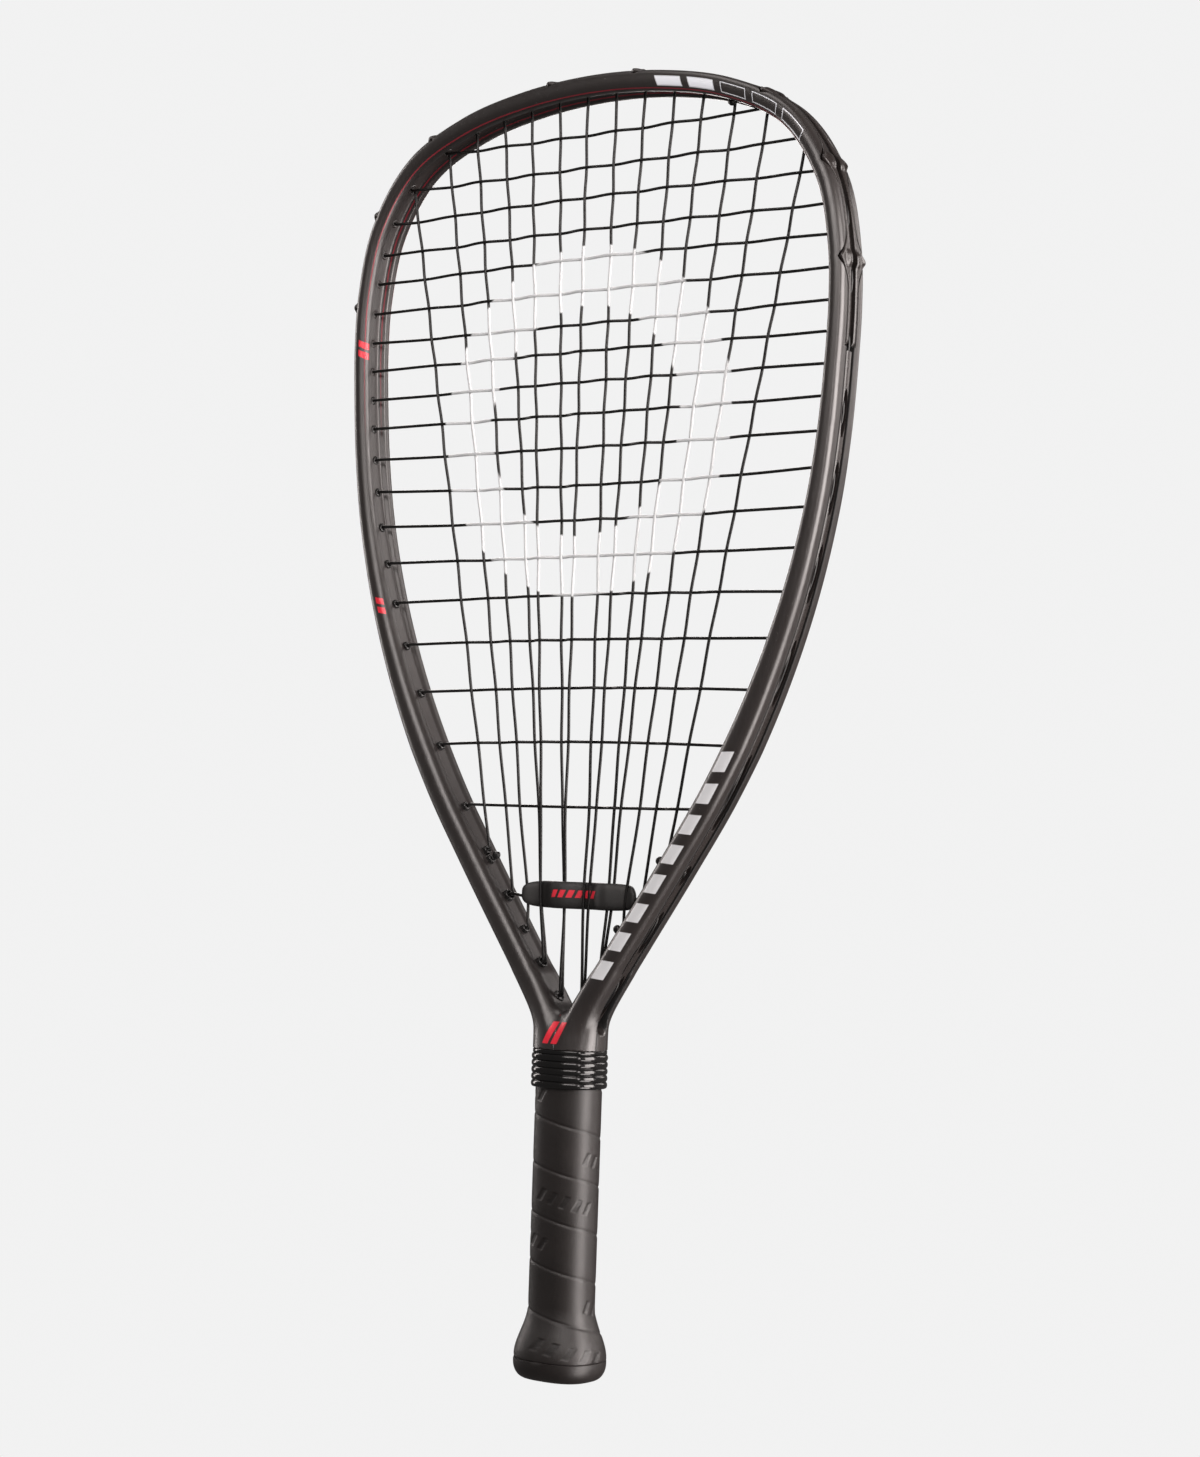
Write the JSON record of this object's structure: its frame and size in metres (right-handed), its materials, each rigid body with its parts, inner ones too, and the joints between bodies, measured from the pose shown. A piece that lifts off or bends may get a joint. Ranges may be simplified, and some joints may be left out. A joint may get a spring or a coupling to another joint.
{
  "type": "racquetball racket",
  "caption": "Short-handled racket with a wide teardrop hoop, woven string bed, string damper, bumper guard round the top, ribbed collar, wrapped grip and flared butt cap.",
  "frame": {"origin": "middle of the butt cap's underside, where the hand's end of the handle is", "axes": "+Z along the handle to the top of the head, +X across the head, -Y out of the front face"},
  "size_m": [0.2606, 0.0334, 0.5571],
  "materials": {
    "frame_finish": "satin dark grey lacquer on moulded carbon",
    "guard_plastic": "satin",
    "grommet_plastic": "satin",
    "string": "smooth",
    "damper_rubber": "matte",
    "collar_rubber": "glossy",
    "grip_rubber": "matte",
    "butt_rubber": "matte"
  },
  "bodies": {
    "root": {"frame": "frame_finish", "bumper_guard": "guard_plastic", "grommet_strip_left": "grommet_plastic", "grommet_strip_right": "grommet_plastic", "main_string": "string", "cross_string": "string", "string_damper": "damper_rubber", "grip_collar": "collar_rubber", "grip_wrap": "grip_rubber", "butt_cap": "butt_rubber"}
  },
  "joints": []
}
